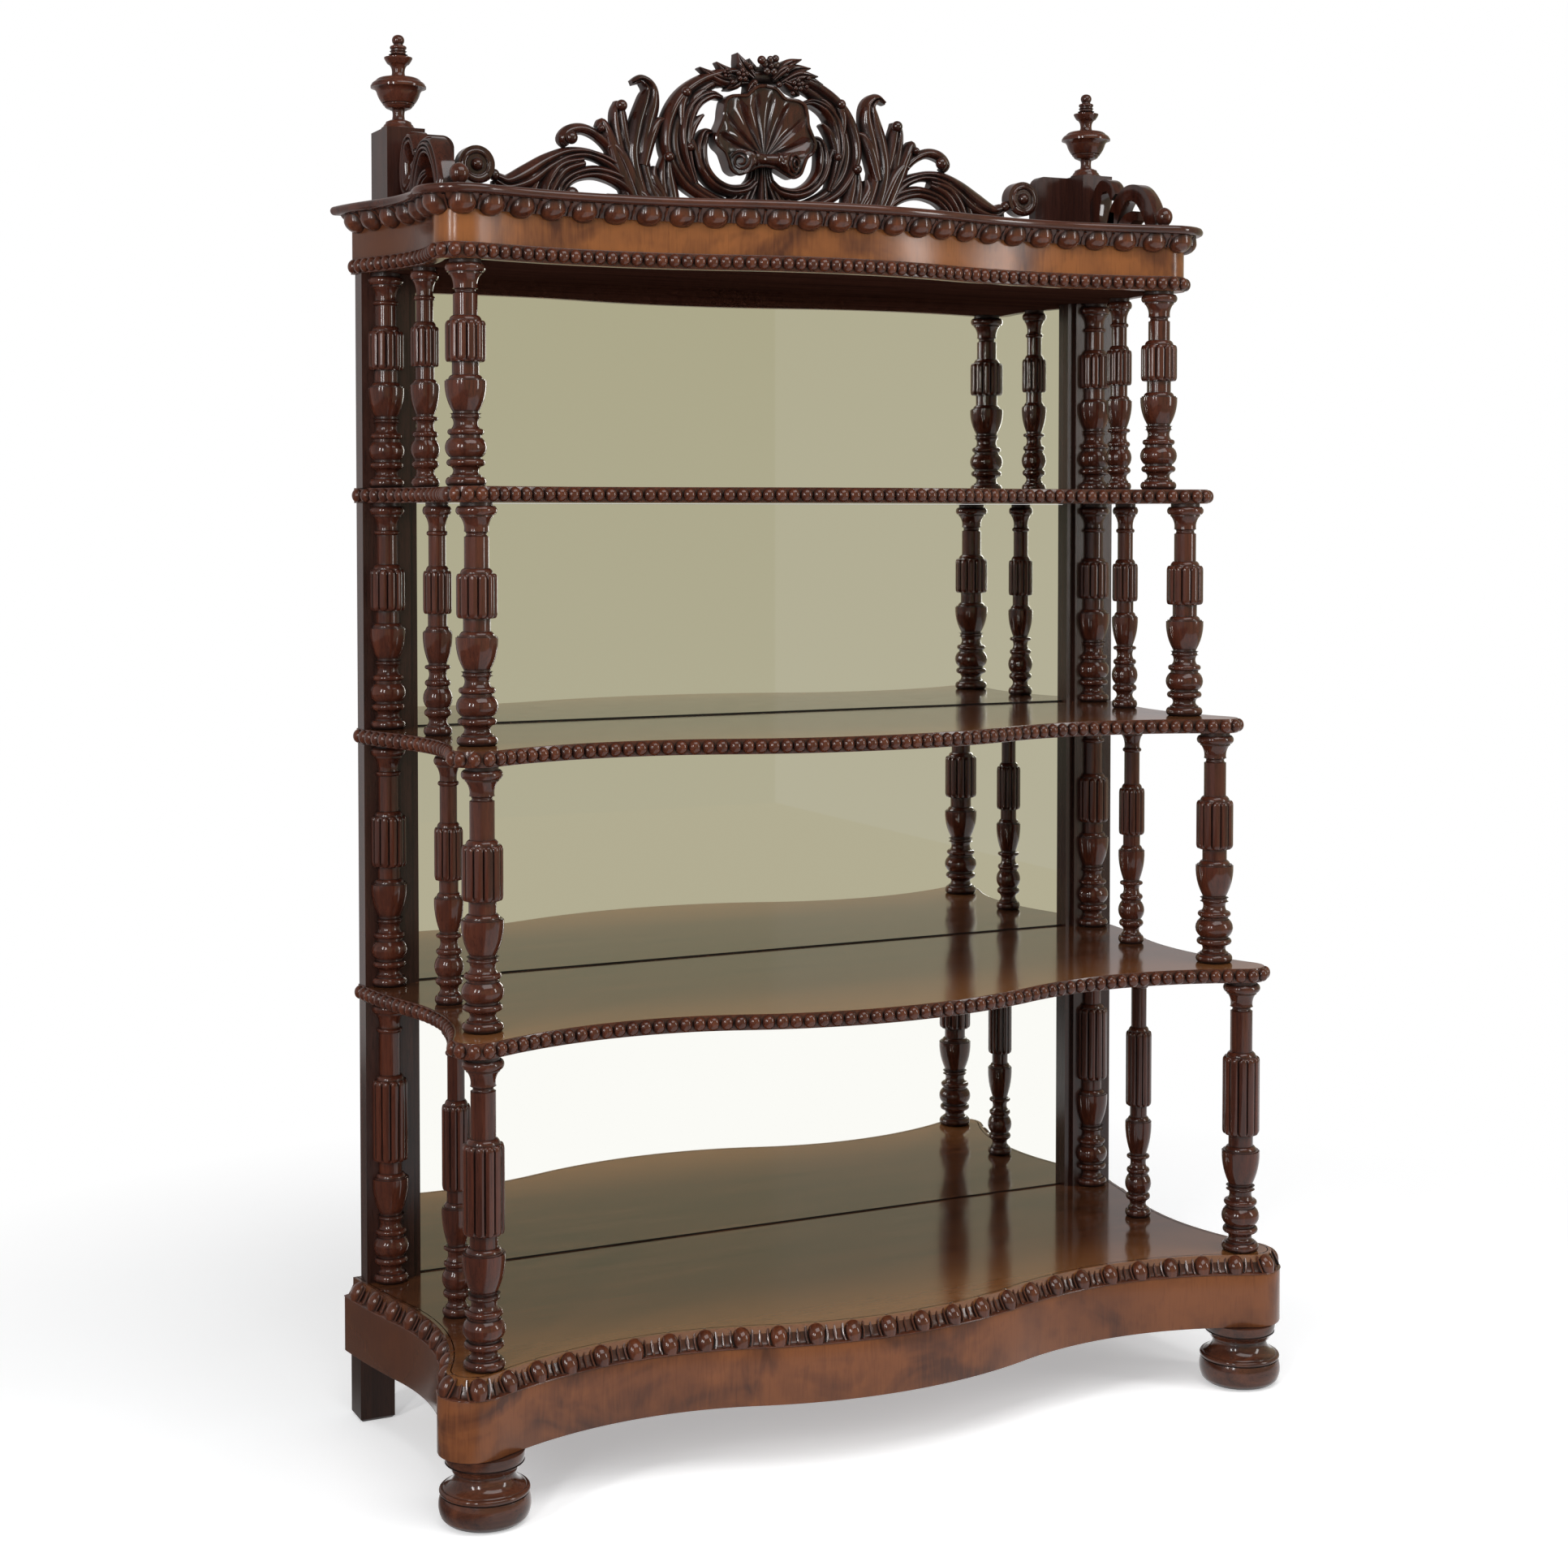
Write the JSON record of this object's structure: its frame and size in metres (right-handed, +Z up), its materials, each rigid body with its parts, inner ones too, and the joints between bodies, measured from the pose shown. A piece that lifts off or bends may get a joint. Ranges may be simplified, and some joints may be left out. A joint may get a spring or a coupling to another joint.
{
  "type": "etagere",
  "caption": "Mirror-backed serpentine etagere: turned columns carry beaded shelves between a plinth on bun feet and a canopy with a carved shell crest.",
  "frame": {"origin": "middle of the whole width and depth, at the floor under the feet", "axes": "+Z up; +X to the right of someone facing the front; the front faces -Y and the mirrors lie in a plane of constant Y"},
  "size_m": [1.3686, 0.5251, 2.0637],
  "materials": {
    "mahogany": "French-polished, deep red-brown, high gloss",
    "flame_veneer": "French-polished flame-figured veneer, high gloss",
    "mirror_glass": "silvered plate glass",
    "secondary_pine": "plain planed softwood, aged"
  },
  "bodies": {
    "root": {"base_board": "mahogany", "canopy_back_rail": "secondary_pine", "canopy_bead_moulding": "mahogany", "canopy_frieze": "flame_veneer", "canopy_nulled_moulding": "mahogany", "canopy_soffit": "mahogany", "crest_left_foliage": "mahogany", "crest_right_foliage": "mahogany", "crest_shell_centre": "mahogany", "left_bun_foot": "mahogany", "left_corner_knob": "mahogany", "left_finial": "mahogany", "left_half_columns": "mahogany", "left_pedestal": "mahogany", "left_rear_leg": "mahogany", "left_scroll_bracket": "mahogany", "left_stiles": "mahogany", "mirror_backboards": "secondary_pine", "mirror_plate_1": "mirror_glass", "mirror_plate_2": "mirror_glass", "mirror_plate_3": "mirror_glass", "mirror_plate_4": "mirror_glass", "mirror_slips": "mahogany", "plinth_back_rail": "secondary_pine", "plinth_corner_blocks": "secondary_pine", "plinth_frieze": "flame_veneer", "plinth_nulled_moulding": "mahogany", "right_bun_foot": "mahogany", "right_corner_knob": "mahogany", "right_finial": "mahogany", "right_half_columns": "mahogany", "right_pedestal": "mahogany", "right_rear_leg": "mahogany", "right_scroll_bracket": "mahogany", "right_stiles": "mahogany", "shelf_bead_moulding_1": "mahogany", "shelf_bead_moulding_2": "mahogany", "shelf_bead_moulding_3": "mahogany", "shelf_board_1": "mahogany", "shelf_board_2": "mahogany", "shelf_board_3": "mahogany", "tier_1_left_front_column": "mahogany", "tier_1_left_middle_column": "mahogany", "tier_1_right_front_column": "mahogany", "tier_1_right_middle_column": "mahogany", "tier_2_left_front_column": "mahogany", "tier_2_left_middle_column": "mahogany", "tier_2_right_front_column": "mahogany", "tier_2_right_middle_column": "mahogany", "tier_3_left_front_column": "mahogany", "tier_3_left_middle_column": "mahogany", "tier_3_right_front_column": "mahogany", "tier_3_right_middle_column": "mahogany", "tier_4_left_front_column": "mahogany", "tier_4_left_middle_column": "mahogany", "tier_4_right_front_column": "mahogany", "tier_4_right_middle_column": "mahogany", "top_board": "mahogany"}
  },
  "joints": []
}
